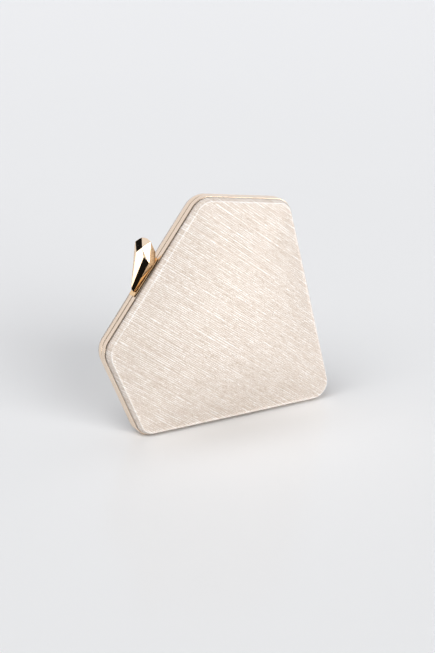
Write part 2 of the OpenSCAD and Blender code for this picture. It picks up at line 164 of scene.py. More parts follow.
class Wire:
    # One socket of a node tree; arithmetic on it adds Math nodes
    def __init__(self, tree, socket=None):
        self.tree, self.socket = tree, socket

    def add(self, kind, values=None, settings=None, out=0):
        node = self.tree.nodes.new(kind)
        for key, value in (settings or {}).items():
            if key == "stops":
                ramp = node.color_ramp
                while len(ramp.elements) < len(value):
                    ramp.elements.new(0.5)
                for element, (place, colour) in zip(ramp.elements, value):
                    element.position, element.color = place, colour
            else:
                setattr(node, key, value)
        for key, value in (values or {}).items():
            if isinstance(value, Wire):
                self.tree.links.new(value.socket, node.inputs[key])
            else:
                node.inputs[key].default_value = value
        return Wire(self.tree, node.outputs[out]) if len(node.outputs) else node

    def other(self, out):
        # Another output of the node that this socket belongs to
        return Wire(self.tree, self.socket.node.outputs[out])

    def maths(self, operation, first, second=0.0, kind="ShaderNodeMath", out=0):
        return self.add(kind, {0: first, 1: second}, {"operation": operation}, out)

    def __add__(self, other):
        return self.maths("ADD", self, other)

    def __sub__(self, other):
        return self.maths("SUBTRACT", self, other)

    def __mul__(self, other):
        return self.maths("MULTIPLY", self, other)

    def __truediv__(self, other):
        return self.maths("DIVIDE", self, other)

    def __radd__(self, other):
        return self.maths("ADD", other, self)

    def __rsub__(self, other):
        return self.maths("SUBTRACT", other, self)

    def clamp(self, low=0.0):
        return self.maths("MINIMUM", self.maths("MAXIMUM", self, low), 1.0)


def startFinish(name):
    material = bpy.data.materials.new(name)
    material.use_nodes = True
    material.node_tree.nodes.clear()
    here = Wire(material.node_tree).add("ShaderNodeTexCoord", out="Object")
    return material, here


def endFinish(here, values, bump=None, depth=0.0):
    # The shader at the end of a finish; bump is a height from 0 to 1 over depth metres
    if bump is not None:
        values["Normal"] = here.add("ShaderNodeBump", {"Distance": depth, "Height": bump})
    shader = here.add("ShaderNodeBsdfPrincipled", values)
    here.add("ShaderNodeOutputMaterial", {"Surface": shader})


def blendColour(here, share, low, high):
    first = low if isinstance(low, Wire) else (*low, 1)
    second = high if isinstance(high, Wire) else (*high, 1)
    return here.add("ShaderNodeMix", {0: share, 6: first, 7: second}, {"data_type": "RGBA"}, 2)


def turnedPlace(here, angle, stretch):
    # Object place turned in the bag's own plane, then stretched along its new axes
    straight = here.add(
        "ShaderNodeVectorRotate", {"Vector": here, "Angle": angle}, {"rotation_type": "Y_AXIS"}
    )
    return here.maths("MULTIPLY", straight, stretch, "ShaderNodeVectorMath")


def noiseAt(place, scale=1.0, detail=2.0, roughness=0.5):
    values = {"Vector": place, "Scale": scale, "Detail": detail, "Roughness": roughness}
    return place.add("ShaderNodeTexNoise", values, out="Fac")


clothLook = {
    "ribAngle": radians(-35.2),
    "ribPitch": 0.00125,
    # Each stretch is a noise's fineness along the ribs, through the cloth and across the ribs
    "wanderStretch": (7, 10, 190),
    "unevenness": 2.3,
    "jitterStretch": (12, 10, 430),
    "jitter": 0.8,
    "shade": (0.455, 0.357, 0.277),
    "body": (0.665, 0.578, 0.505),
    "light": (0.87, 0.84, 0.81),
    "sheen": 0.15,
    "shine": 1.0,
    "roughness": 0.52,
    "smoothing": 0.14,
    "ribHeight": 0.00013,
    # Painted light and shade: the ribs' stripes are drawn stronger in a patch near the lower left
    # corner
    "paintedRibShadePlace": (-0.046, -0.0135, 0.045),
    "paintedRibShadeReach": 0.025,
    "paintedRibShadeContrast": 0.45,
    "plainRibContrast": 0.22,
    "leastContrast": 0.08,
    "cloudStretch": (22, 30, 30),
    "cloudContrast": 1.2,
    # Threads for each metre of rib, and how far apart the noise is from rib to rib
    "threadsInMetre": 240,
    "threadStep": 3.7,
    "threadContrast": 1.5,
    "longThreadsInMetre": 42,
    "longThreadStep": 1.9,
    "longThreadLayer": 5.0,
    "longContrast": 1.3,
    "mottleStretch": (95, 300, 300),
    "mottle": 0.25,
    "grainScale": 2300.0,
    "grain": 1.5,
    # How much the painted highlight along the rim's crease lightens the cloth
    "wearAndPaintedHighlight": 0.42,
    # What ribs, threads and grain add to the relief
    "relief": (0.7, 0.3, 0.1),
}


def makeCloth():
    material, here = startFinish("crossRibCloth")
    look = clothLook
    # In the turned place x runs along the ribs and z across them
    turn = look["ribAngle"]
    place = turnedPlace(here, turn, (1, 1, 1))
    along = here.add("ShaderNodeSeparateXYZ", {"Vector": place}, out="X")
    across = along.other("Z")
    # Neighbouring ribs differ in width, and each keeps its width for a long way
    wander = noiseAt(turnedPlace(here, turn, look["wanderStretch"]), detail=1.0)
    jitter = noiseAt(turnedPlace(here, turn, look["jitterStretch"]), detail=0.0)
    count = across / look["ribPitch"] + wander * look["unevenness"] + jitter * look["jitter"]
    ribs = here.maths("SINE", count * (2 * pi)) * 0.5 + 0.5
    # Each rib has a number of its own, so that its threads differ from its neighbours'
    number = here.maths("FLOOR", count + 0.25)
    lane = here.add("ShaderNodeCombineXYZ", {
        "X": along * look["threadsInMetre"], "Y": number * look["threadStep"],
    })
    longLane = here.add("ShaderNodeCombineXYZ", {
        "X": along * look["longThreadsInMetre"], "Y": number * look["longThreadStep"],
        "Z": look["longThreadLayer"],
    })
    threads = noiseAt(lane, roughness=0.6)
    longThreads = noiseAt(longLane, detail=1.0)
    mottle = noiseAt(turnedPlace(here, turn, look["mottleStretch"]), roughness=0.55)
    clouds = noiseAt(turnedPlace(here, turn, look["cloudStretch"]))
    grain = noiseAt(here, look["grainScale"], detail=1.0, roughness=0.7)
    # Painted light and shade: the ribs' stripes grow stronger towards the patch near the lower left
    # corner
    far = here.maths("DISTANCE", here, look["paintedRibShadePlace"], "ShaderNodeVectorMath", "Value")
    far = far / look["paintedRibShadeReach"]
    paintedRibShade = here.maths("EXPONENT", 0 - far * far)
    strength = (
        look["plainRibContrast"] + paintedRibShade * look["paintedRibShadeContrast"]
        + (clouds - 0.5) * look["cloudContrast"]
    ).clamp(look["leastContrast"])
    crest = ribs * ribs
    # Painted highlight: the cloth is lighter along the crease where the wall meets the face
    crease = here.add("ShaderNodeAttribute", None, {"attribute_name": "crease"}, "Fac")
    tone = (
        0.5 + (ribs - 0.5) * strength
        + (threads - 0.5) * crest * look["threadContrast"]
        + (longThreads - 0.5) * crest * look["longContrast"]
        + (mottle - 0.5) * look["mottle"] + (grain - 0.5) * look["grain"]
        + crease * look["wearAndPaintedHighlight"]
    ).clamp()
    stops = [(k / 2, (*look[name], 1)) for k, name in enumerate(("shade", "body", "light"))]
    ribRelief, threadRelief, grainRelief = look["relief"]
    endFinish(here, {
        "Base Color": here.add("ShaderNodeValToRGB", {"Fac": tone}, {"stops": stops}),
        "Metallic": look["sheen"],
        "Roughness": look["roughness"] - tone * look["smoothing"],
        "Specular IOR Level": look["shine"],
    }, (ribs * ribRelief + threads * threadRelief + grain * grainRelief).clamp(), look["ribHeight"])
    return material


goldLook = {
    "low": (0.86, 0.68, 0.52),
    "high": (0.93, 0.78, 0.63),
    "wearScale": 90.0,
    "brushedStretch": (300, 2500, 300),
    "brushedDepth": 0.000002,
    "roughness": 0.13,
    "wornRoughness": 0.1,
    "brushedRoughness": 0.05,
}


def makeBandGold():
    material, here = startFinish("paleGoldBand")
    look = goldLook
    wearAndPaintedHighlight = noiseAt(here, look["wearScale"], detail=4.0, roughness=0.6)
    brushed = noiseAt(turnedPlace(here, -lean, look["brushedStretch"]))
    roughness = look["roughness"] + wearAndPaintedHighlight * look["wornRoughness"]
    endFinish(here, {
        "Base Color": blendColour(here, wearAndPaintedHighlight, look["low"], look["high"]),
        "Metallic": 1.0,
        "Roughness": roughness + brushed * look["brushedRoughness"],
    }, brushed, look["brushedDepth"])
    return material


gemLook = {
    "paintedShadeGold": (0.93, 0.64, 0.36),
    "low": (0.90, 0.70, 0.50),
    "high": (0.95, 0.78, 0.60),
    # Reach out from the middle of the bag, square to the crown edge, over which the painted shade
    # fades out
    "paintedShadeFrom": 0.109,
    "paintedShadeTo": 0.121,
    "smearScale": 160.0,
    "roughness": 0.03,
    "smearRoughness": 0.05,
}


def makeGemGold():
    material, here = startFinish("polishedGemGold")
    look = gemLook
    smear = noiseAt(here, look["smearScale"], detail=3.0)
    # Painted shade: the gold low on the knob, beside the bands, is given a deeper colour
    outward = (-sin(lean), 0, cos(lean))
    reach = here.maths("DOT_PRODUCT", here, outward, "ShaderNodeVectorMath", "Value")
    clearOfPaintedShade = here.add("ShaderNodeMapRange", {
        "Value": reach, "From Min": look["paintedShadeFrom"], "From Max": look["paintedShadeTo"],
    })
    bright = blendColour(here, smear, look["low"], look["high"])
    endFinish(here, {
        "Base Color": blendColour(here, clearOfPaintedShade, look["paintedShadeGold"], bright),
        "Metallic": 1.0,
        "Roughness": look["roughness"] + smear * look["smearRoughness"],
    })
    return material


satinLook = {
    "low": (0.52, 0.43, 0.35),
    "high": (0.72, 0.63, 0.54),
    "warpStretch": (120, 3000, 3000),
    "foldScale": 30.0,
    "warpShare": 0.6,
    "foldShare": 0.4,
    "metallic": 0.12,
    "roughness": 0.34,
    "warpRoughness": 0.16,
    "sheen": 0.3,
    "depth": 0.00006,
}


def makeSatin():
    material, here = startFinish("satinLining")
    look = satinLook
    warp = noiseAt(turnedPlace(here, -lean, look["warpStretch"]))
    folds = noiseAt(here, look["foldScale"])
    share = warp * look["warpShare"] + folds * look["foldShare"]
    endFinish(here, {
        "Base Color": blendColour(here, share, look["low"], look["high"]),
        "Metallic": look["metallic"],
        "Roughness": look["roughness"] + warp * look["warpRoughness"],
        "Sheen Weight": look["sheen"],
    }, warp * 0.5 + folds * 0.5, look["depth"])
    return material


foamLook = {
    "low": (0.62, 0.57, 0.47),
    "high": (0.82, 0.78, 0.68),
    "cellScale": 1500.0,
    "roughness": 0.9,
    "cellRoughness": 0.05,
    "depth": 0.0002,
}


def makeFoam():
    material, here = startFinish("creamPaddingFoam")
    look = foamLook
    values = {"Vector": here, "Scale": look["cellScale"]}
    cells = here.add("ShaderNodeTexVoronoi", values, out="Distance")
    endFinish(here, {
        "Base Color": blendColour(here, cells.clamp(), look["low"], look["high"]),
        "Roughness": look["roughness"] + cells * look["cellRoughness"],
    }, cells.clamp(), look["depth"])
    return material


steelLook = {
    "low": (0.42, 0.42, 0.43),
    "high": (0.66, 0.65, 0.64),
    "stretch": (250, 4000, 4000),
    "scale": 1.0,
    "detail": 3.0,
    "unrest": 0.5,
    "metallic": 1.0,
    "roughness": 0.25,
    "grainRoughness": 0.2,
    "depth": 0.000006,
}
cardLook = {
    "low": (0.40, 0.36, 0.31),
    "high": (0.58, 0.53, 0.46),
    "scale": 900.0,
    "detail": 5.0,
    "unrest": 0.7,
    "metallic": 0.0,
    "roughness": 0.8,
    "grainRoughness": 0.15,
    "depth": 0.00004,
}
shellLook = {
    "low": (0.20, 0.20, 0.21),
    "high": (0.27, 0.27, 0.28),
    "scale": 1400.0,
    "detail": 2.0,
    "unrest": 0.5,
    "metallic": 0.0,
    "roughness": 0.42,
    "grainRoughness": 0.15,
    "depth": 0.00002,
}


def makeGrained(name, look):
    # A finish whose one grain sets its colour, its roughness and its small relief together
    material, here = startFinish(name)
    place = turnedPlace(here, -lean, look["stretch"]) if "stretch" in look else here
    grain = noiseAt(place, look["scale"], look["detail"], look["unrest"])
    endFinish(here, {
        "Base Color": blendColour(here, grain, look["low"], look["high"]),
        "Metallic": look["metallic"],
        "Roughness": look["roughness"] + grain * look["grainRoughness"],
    }, grain, look["depth"])
    return material


cloth = makeCloth()
bandGold = makeBandGold()
gemGold = makeGemGold()
latchSteel = makeGrained("brushedLatchSteel", steelLook)
satin = makeSatin()
card = makeGrained("greyLiningCard", cardLook)
shellPlastic = makeGrained("mouldedShellGrey", shellLook)
foam = makeFoam()
print("finishes made:", len(bpy.data.materials))


def linked(name, data):
    obj = bpy.data.objects.new(name, data)
    bpy.context.scene.collection.objects.link(obj)
    return obj


def newObject(name, vertices, faces, material, edges=()):
    mesh = bpy.data.meshes.new(name)
    mesh.from_pydata([tuple(v) for v in vertices], list(edges), faces)
    mesh.update()
    if material:
        mesh.materials.append(material)
    return linked(name, mesh)


def dropObject(obj):
    old = obj.data
    bpy.data.objects.remove(obj)
    bpy.data.meshes.remove(old)


def plainMesh(obj):
    # Turns an object with modifiers into a plain mesh and takes the modifiers away
    depsgraph = bpy.context.evaluated_depsgraph_get()
    result = bpy.data.meshes.new_from_object(obj.evaluated_get(depsgraph))
    obj.modifiers.clear()
    old, obj.data = obj.data, result
    bpy.data.meshes.remove(old)
    result.name = obj.name
    return obj


def rightWayOut(obj):
    # Merges doubled points and turns every face outwards
    work = bmesh.new()
    work.from_mesh(obj.data)
    bmesh.ops.remove_doubles(work, verts=work.verts, dist=1e-7)
    bmesh.ops.recalc_face_normals(work, faces=work.faces)
    work.to_mesh(obj.data)
    work.free()
    return obj


def allSmooth(obj):
    obj.data.polygons.foreach_set("use_smooth", [True] * len(obj.data.polygons))
    return obj


def smoothed(obj, angle):
    # Smooth all over, but for edges sharper than the angle
    allSmooth(obj).data.set_sharp_from_angle(angle=radians(angle))
    return obj


def finishPiece(obj, body, nodes):
    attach(obj, body)
    if nodes:
        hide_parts(*nodes)
    return obj


def stoodUp(obj, angle, body, nodes):
    # Moves a piece from the upright drawing to where it stands, on its body
    obj.data.transform(stand)
    return finishPiece(smoothed(obj, angle), body, nodes)


def newTree(name, inputs):
    tree = bpy.data.node_groups.new(name, "GeometryNodeTree")
    tree.interface.new_socket("Geometry", in_out="INPUT", socket_type="NodeSocketGeometry")
    for label, kind in {**inputs, "Finish": "Material"}.items():
        tree.interface.new_socket(label, in_out="INPUT", socket_type="NodeSocket" + kind)
    tree.interface.new_socket("Geometry", in_out="OUTPUT", socket_type="NodeSocketGeometry")
    entry = tree.nodes.new("NodeGroupInput")
    given = {s.name: Wire(tree, s) for s in entry.outputs if s.name}
    return given["Geometry"], given


def endTree(shape, given):
    shape = shape.add("GeometryNodeRealizeInstances", {"Geometry": shape})
    shape = shape.add("GeometryNodeSetMaterial", {"Geometry": shape, "Material": given["Finish"]})
    shape.add("NodeGroupOutput", {"Geometry": shape})
    return shape.tree


def grow(obj, tree, values):
    # Runs a tree on an object with its named inputs set, and keeps the result as a plain mesh
    modifier = obj.modifiers.new(tree.name, "NODES")
    modifier.node_group = tree
    for item in tree.interface.items_tree:
        if item.item_type == "SOCKET" and item.in_out == "INPUT" and item.name in values:
            modifier[item.identifier] = values[item.name]
    return plainMesh(obj)


def carve(obj, tool, operation="DIFFERENCE"):
    modifier = obj.modifiers.new(operation, "BOOLEAN")
    modifier.operation, modifier.object, modifier.solver = operation, tool, "EXACT"
    plainMesh(obj)
    dropObject(tool)


def block(low, high):
    (x0, y0, z0), (x1, y1, z1) = low, high
    corners = [(x, y, z) for x in (x0, x1) for y in (y0, y1) for z in (z0, z1)]
    faces = [(0, 1, 3, 2), (4, 6, 7, 5), (0, 4, 5, 1), (2, 3, 7, 6), (0, 2, 6, 4), (1, 5, 7, 3)]
    return newObject("block", corners, faces, None)


def rod(x, length, radius, steps=hinge["knuckleSteps"]):
    # A closed plain rod round the hinge's axis
    vertices, faces = [], []
    for end in (-1, 1):
        for k in range(steps):
            a = 2 * pi * k / steps
            y, z = radius * cos(a), hingeHeight + radius * sin(a)
            vertices.append((x + end * length / 2, y, z))
    for k in range(steps):
        faces.append((k, (k + 1) % steps, steps + (k + 1) % steps, steps + k))
    faces += [tuple(range(steps - 1, -1, -1)), tuple(range(steps, 2 * steps))]
    return newObject("rod", vertices, faces, None)


def makeSweepTree():
    # Rounds the corners of an outline and carries a section round it
    start, given = newTree("bandSweep", {"Section": "Object", "Corner Steps": "Int"})
    path = start.add("GeometryNodeMeshToCurve", {"Mesh": start})
    radius = start.add(
        "GeometryNodeInputNamedAttribute", {"Name": "cornerRadius"}, {"data_type": "FLOAT"}
    )
    path = start.add(
        "GeometryNodeFilletCurve",
        {"Curve": path, "Count": given["Corner Steps"], "Radius": radius}, {"mode": "POLY"},
    )
    path = start.add("GeometryNodeSetCurveNormal", {"Curve": path}, {"mode": "Z_UP"})
    section = start.add("GeometryNodeObjectInfo", {"Object": given["Section"]}, out="Geometry")
    section = start.add("GeometryNodeMeshToCurve", {"Mesh": section})
    shape = start.add("GeometryNodeCurveToMesh", {"Curve": path, "Profile Curve": section})
    return endTree(shape, given)


band = {
    "depth": 0.0043,
    "jointHalfGap": 0.00015,
    "webDepth": 0.0024,
    "outerLip": 0.0008,
    "innerLip": 0.0008,
    "channelWidth": 0.00176,
    "edgeRadius": 0.00045,
    "jointRadius": 0.00035,
    "mouthChamfer": 0.00018,
    "bulge": 0.00012,
    "bulgeSteps": 8,
    "edgeSteps": 6,
    "cornerSteps": 28,
    "sharpAngle": 40,
}
frameWidth = band["outerLip"] + band["channelWidth"] + band["innerLip"]
latch = {
    "shankWidth": 0.008,
    "shankThick": 0.002,
    "gap": 0.0003,
    "tiltMax": radians(8),
    "pivotDrop": 0.006,
    "pivotBack": 0.0045,
    "footGap": 0.00035,
    "footThick": 0.0006,
    "rivetX": 0.0098,
    "rivetY": 0.0015,
    "sheet": 0.0008,
    "plateHalf": 0.013,
    "bossRadius": 0.0016,
}
shankSweep = (
    (latch["pivotDrop"] - latch["footGap"]) * sin(latch["tiltMax"])
    - (latch["pivotBack"] - latch["shankThick"] / 2) * (1 - cos(latch["tiltMax"]))
)
# How far a cut runs past its piece
over = 0.0005


def bandSection():
    # Inset and depth of the band's section, outer face first, then the channel for the shell
    low, high = band["jointHalfGap"], band["depth"]
    r, joint, bulge = band["edgeRadius"], band["jointRadius"], band["bulge"]
    points = []
    for j in range(band["edgeSteps"], -1, -1):
        a = radians(90 * j / band["edgeSteps"])
        points.append((bulge + joint * (1 - cos(a)), low + joint * (1 - sin(a))))
    for j in range(1, band["bulgeSteps"]):
        s = j / band["bulgeSteps"]
        points.append((bulge * (2 * s - 1) ** 2, low + joint + (high - low - joint - r) * s))
    for j in range(band["edgeSteps"] + 1):
        a = radians(90 * j / band["edgeSteps"])
        points.append((bulge + r * (1 - cos(a)), high - r * (1 - sin(a))))
    lip, chamfer = band["outerLip"], band["mouthChamfer"]
    mouth = lip + band["channelWidth"]
    return points + [
        (lip - chamfer, high), (lip, high - 2 * chamfer), (lip, band["webDepth"]),
        (mouth, band["webDepth"]), (mouth, high - r), (frameWidth, high - r), (frameWidth, low),
    ]


def bandOutline(name):
    points = [(p.x, p.y, 0) for p in sharpCorners]
    obj = newObject(name, points, [], None, [(i, (i + 1) % sides) for i in range(sides)])
    radii = obj.data.attributes.new("cornerRadius", "FLOAT", "POINT")
    radii.data.foreach_set("value", cornerRadii)
    return obj


def sweptBand(name, side):
    profile = bandSection()
    section = newObject(
        "section", [(-x, y, 0) for x, y in profile], [], None,
        [(i, (i + 1) % len(profile)) for i in range(len(profile))],
    )
    obj = grow(bandOutline(name), sweepTree, {
        "Section": section, "Corner Steps": band["cornerSteps"], "Finish": bandGold,
    })
    dropObject(section)
    # The sweep lies flat with its depth along z; lift it so that depth runs along y
    depths = [v.co.z for v in obj.data.vertices]
    sign = 1 if abs(max(depths)) > abs(min(depths)) else -1
    for v in obj.data.vertices:
        x, z, depth = v.co
        v.co = (x, side * sign * depth, z)
    return rightWayOut(obj)


def tipRelief():
    # Room beyond the hinge's axis, so that the two bands meet only when the bag is wide open
    deep = hinge["inset"] + over
    spread = deep * tan(radians(hinge["reliefAngle"]))
    corners = [
        (x, y, hingeHeight - z) for x in (-hinge["reliefHalf"], hinge["reliefHalf"])
        for y, z in ((0, 0), (-spread, deep), (spread, deep))
    ]
    faces = [(0, 1, 2), (3, 5, 4), (0, 3, 4, 1), (1, 4, 5, 2), (2, 5, 3, 0)]
    return rightWayOut(newObject("relief", corners, faces, None))


def makeBand(name, side, body, node):
    obj = sweptBand(name, side)
    carve(obj, tipRelief())
    frontHalf = side < 0
    # Slot for the lever's shank
    slotDepth = latch["shankThick"] / 2 + latch["gap"] + (0 if frontHalf else shankSweep)
    halfSlot = latch["shankWidth"] / 2 + latch["gap"]
    near, far = (-slotDepth, over) if frontHalf else (-over, slotDepth)
    carve(obj, block(
        (-halfSlot, near, crown - frameWidth - over), (halfSlot, far, crown + over)
    ))
    # Knuckles: the front half carries the two outer ones, the back half the middle one
    sideLength = (hinge["length"] - hinge["middleLength"]) / 2 - hinge["gap"]
    sideX = hinge["middleLength"] / 2 + hinge["gap"] + sideLength / 2
    middleOne, outerTwo = [(0, hinge["middleLength"])], [(-sideX, sideLength), (sideX, sideLength)]
    own, others = (outerTwo, middleOne) if frontHalf else (middleOne, outerTwo)
    radius, gap = hinge["knuckleRadius"], hinge["gap"]
    for x, length in own:
        carve(obj, rod(x, length, radius), "UNION")
    for x, length in others:
        carve(obj, rod(x, length + 2 * gap, radius + gap))
    bore = hinge["frontBore"] if frontHalf else hinge["backBore"]
    carve(obj, rod(0, hinge["length"] + 2 * over, bore, hinge["boreSteps"]))
    return stoodUp(obj, band["sharpAngle"], body, [node])


sweepTree = makeSweepTree()
frontBand = makeBand("frontBand", -1, "front_half", "front_frame")
backBand = makeBand("backBand", 1, "back_half", "back_frame")
print("bands made:", len(frontBand.data.polygons), len(backBand.data.polygons))


def layerMesh(name, layers, material, side, wearAndPaintedHighlight=None):
    # A layer is rings of upright points (x, depth, z) and the point that ends it; two layers
    # close into a pad. The painted highlight is one value for each ring, kept for the finish to
    # read
    vertices, faces, starts = [], [], []
    for rows, tip in layers:
        count, start = len(rows[0]), len(vertices)
        starts.append(start)
        vertices += [(x, side * depth, z) for row in rows for x, depth, z in row]
        vertices.append((tip[0], side * tip[1], tip[2]))
        for j in range(len(rows) - 1):
            for k in range(count):
                a, b = start + j * count + k, start + j * count + (k + 1) % count
                faces.append((a, a + count, b + count, b))
        last = start + (len(rows) - 1) * count
        faces += [(last + k, len(vertices) - 1, last + (k + 1) % count) for k in range(count)]
    if len(starts) == 2:
        outer, inner = starts
        for k in range(count):
            after = (k + 1) % count
            faces.append((outer + k, outer + after, inner + after, inner + k))
    obj = newObject(name, vertices, faces, material)
    if wearAndPaintedHighlight:
        paintedHighlight = obj.data.attributes.new("crease", "FLOAT", "POINT")
        paintedHighlight.data.foreach_set("value", [w for w in wearAndPaintedHighlight for k in range(count)] + [0.0])
    return rightWayOut(obj)


def faceRows(level, puff, power, shares, inset):
    # Rings of a crowned face, from its rim to its middle, and the middle itself
    rim = [ringPoint(p, inset) for p in places]
    rows = []
    for share in shares:
        drawn = [facePoint(p, share) for p in rim]
        rows.append([(q.x, level + puff * (1 - share ** power), q.y) for q in drawn])
    return rows, (faceMiddle.x, level + puff, faceMiddle.y)


faceShares = [
    0.985, 0.965, 0.94, 0.91, 0.88, 0.84, 0.8, 0.76, 0.72, 0.67,
    0.62, 0.57, 0.52, 0.46, 0.4, 0.34, 0.28, 0.21, 0.14, 0.07,
]


def trayRows(tray, side):
    # Wall, rolled rim and crowned face; the wall is pinched where the band's lip closes on it
    rows, wallTop = [], tray["wallTop"][side]
    roll = tray["foldInset"] - tray["wallInset"]
    edgeBow = [tray["bow"] * sin(pi * p[2]) for p in places]
    for depth, pinch in tray["wall"]:
        row = []
        risen = max(0, (depth - band["depth"]) / (wallTop - band["depth"]))
        for p, bow in zip(places, edgeBow):
            q = ringPoint(p, tray["wallInset"] + pinch - bow * risen)
            row.append((q.x, depth, q.y))
        rows.append(row)
    for angle, swell in tray["roll"]:
        a = radians(angle)
        row = []
        for p, bow in zip(places, edgeBow):
            reach = roll + swell + bow * cos(a)
            q = ringPoint(p, tray["foldInset"] - reach * cos(a))
            row.append((q.x, wallTop + reach * sin(a), q.y))
        rows.append(row)
    face, tip = faceRows(
        wallTop + roll, tray["puff"], tray["crownPower"], faceShares, tray["foldInset"]
    )
    return rows + face, tip


def thicken(obj, thick):
    skin = obj.modifiers.new("thickness", "SOLIDIFY")
    skin.thickness, skin.offset = thick, -1
    return plainMesh(obj)


cover = {
    "wallInset": 0.0009,
    "wall": [
        (0.0027, 0.0002), (0.0036, 0.0002), (0.0042, 0.0002), (0.0044, 0.00018),
        (0.0047, 0.00008), (0.0050, 0.0),
    ],
    "wallTop": {-1: 0.0057, 1: 0.0055},
    "foldInset": 0.0041,
    "puff": 0.006,
    "crownPower": 2.4,
    "thick": 0.0003,
    "bow": 0.00015,
    # Angle round the rim, and how far the cloth stands proud of a plain round there
    "roll": [
        (0, 0.0), (8, -0.00005), (16, -0.0001), (24, -0.00015), (32, -0.0002), (40, -0.00018),
        (48, -0.00008), (54, 0.00004), (60, 0.0002), (63.5, 0.00029), (66, 0.00034),
        (68.5, 0.00034), (71, 0.00029), (75, 0.00018), (80, 0.00008), (85, 0.00002), (90, 0.0),
    ],
    # Where on the roll the painted highlight lies, and how wide it spreads, in degrees
    "highlightAngle": 67,
    "highlightWidth": 6,
    "sharpAngle": 60,
    "flat": (0.199, 0.192),
    "flatArea": 0.0225,
}


def ridgeHighlightRings():
    # Painted highlight on each ring: a lighter line only on the crease where the wall meets the
    # face
    angle, width = cover["highlightAngle"], cover["highlightWidth"]
    rolled = [exp(-((a - angle) / width) ** 2) for a, swell in cover["roll"]]
    return [0.0] * len(cover["wall"]) + rolled + [0.0] * len(faceShares)


def makeCover(name, side, body, node):
    skin = layerMesh(name, [trayRows(cover, side)], cloth, side, ridgeHighlightRings())
    obj = thicken(skin, cover["thick"])
    stoodUp(obj, cover["sharpAngle"], body, [node])


padding = {
    "rimInset": 0.0041,
    "outerLevel": 0.0082,
    "innerLevel": 0.0083,
    "outerPuff": 0.006,
    "innerPuff": 0.004,
    "crownPower": 2.4,
    "shares": [0.925, 0.9, 0.86, 0.8, 0.74, 0.67, 0.6, 0.52, 0.44, 0.36, 0.27, 0.18, 0.09],
    "dimple": 0.00012,
    # Dimples start this far above the inner level and reach full depth at this rate
    "dimpleFrom": 0.0015,
    "dimpleRate": 60,
    "dimplesInMetre": 160,
    "sharpAngle": 60,
}


def makePadding(name, side, body, node):
    # A foam pad, thickest in the middle and thinned to nothing under the rim of the cover
    layers = [
        faceRows(
            padding[face + "Level"], padding[face + "Puff"], padding["crownPower"],
            padding["shares"], padding["rimInset"],
        )
        for face in ("outer", "inner")
    ]
    obj = layerMesh(name, layers, foam, side)
    for v in obj.data.vertices:
        above = max(0, abs(v.co.y) - padding["innerLevel"] - padding["dimpleFrom"])
        full = min(1, above * padding["dimpleRate"])
        hollow = 0.5 + 0.5 * noise.noise(v.co * padding["dimplesInMetre"])
        v.co.y -= side * padding["dimple"] * full * hollow
    stoodUp(obj, padding["sharpAngle"], body, [node])


lining = {
    "wallInset": 0.00428,
    "wall": [(depth, 0.0) for depth in (0.00015, 0.0008, 0.0018, 0.003, 0.004)],
    "wallTop": {-1: 0.00488, 1: 0.00488},
    "foldInset": 0.00572,
    "puff": 0.004,
    "crownPower": 2.4,
    "thick": 0.0003,
    "bow": 0.0,
    "roll": [(11.25 * j, 0.0) for j in range(9)],
    # Gathers in the round, their depth, the ring they start from and how soon they rise
    "gathers": 46,
    "gatherDepth": 0.00045,
    "gatherFrom": 6,
    "gatherRise": 0.6,
    "gatherWander": 3,
    "wanderScale": 55,
    "sharpAngle": 50,
    "flat": (0.186, 0.179),
    "flatArea": 0.0206,
}


def gatherRows(rows):
    # Soft gathers stand up inwards from the rim and die away towards the middle of the face
    steps, first = len(rows), lining["gatherFrom"]
    for j, row in enumerate(rows):
        share = min(1, max(0, (j - first) / (steps - first)) ** lining["gatherRise"])
        rise = sin(pi * share)
        for k, (x, depth, z) in enumerate(row):
            turn = atan2(z - faceMiddle.y, x)
            wander = noise.noise(Vector((x, z, 0)) * lining["wanderScale"])
            wave = 0.5 + 0.5 * sin(lining["gathers"] * turn + lining["gatherWander"] * wander)
            row[k] = (x, depth - lining["gatherDepth"] * rise * wave * wave, z)


def makeLining(name, side, body, node):
    rows, tip = trayRows(lining, side)
    gatherRows(rows)
    obj = thicken(layerMesh(name, [(rows, tip)], satin, side), lining["thick"])
    # Room for the latch on the crown edge and for the hinge at the tip
    roomHalf = latch["plateHalf"] + latch["gap"]
    roomDepth = latch["pivotBack"] + latch["bossRadius"] + latch["gap"]
    roomHeight = latch["pivotDrop"] + latch["bossRadius"] + 2 * latch["sheet"] + 2 * latch["gap"]
    near, far = sorted((-side * 2 * over, side * roomDepth))
    carve(obj, block(
        (-roomHalf, near, crown - roomHeight), (roomHalf, far, crown + 2 * over)
    ))
    gap = hinge["gap"]
    carve(obj, rod(0, hinge["length"] + 2 * gap, hinge["knuckleRadius"] + gap))
    stoodUp(obj, lining["sharpAngle"], body, [node])


for half, side in (("front", -1), ("back", 1)):
    body = half + "_half"
    makePadding(half + "Padding", side, body, half + "_padding")
    makeCover(half + "Cover", side, body, half + "_cover")
    makeLining(half + "Lining", side, body, half + "_lining")
print("covers, paddings and linings made")

gem = {
    "length": 0.0332,
    "height": 0.0188,
    "width": 0.0104,
    "shift": 0.0012,
    "bevel": 0.00022,
    "bevelSteps": 3,
    "flatAngle": 1.5,
    "edgeAngle": 4,
}
# Corners of the clasp's knob as shares of its length, half width and height
gemCorners = [
    (0, 0.07, 0), (0.025, 0, 0.135), (0.822, 0, 0.982), (0.894, 0, 0.918), (0.958, 0, 0.844),
    (0.997, 0, 0.651), (0.661, 0.28, 0.775), (0.795, 0.7, 0.743), (0.978, 0.36, 0.522),
    (0.659, 0.865, 0.528), (0.619, 1, 0.242), (0.868, 0.34, 0.16), (0.734, 0.55, 0),
    (0.65, 0.69, 0),
]


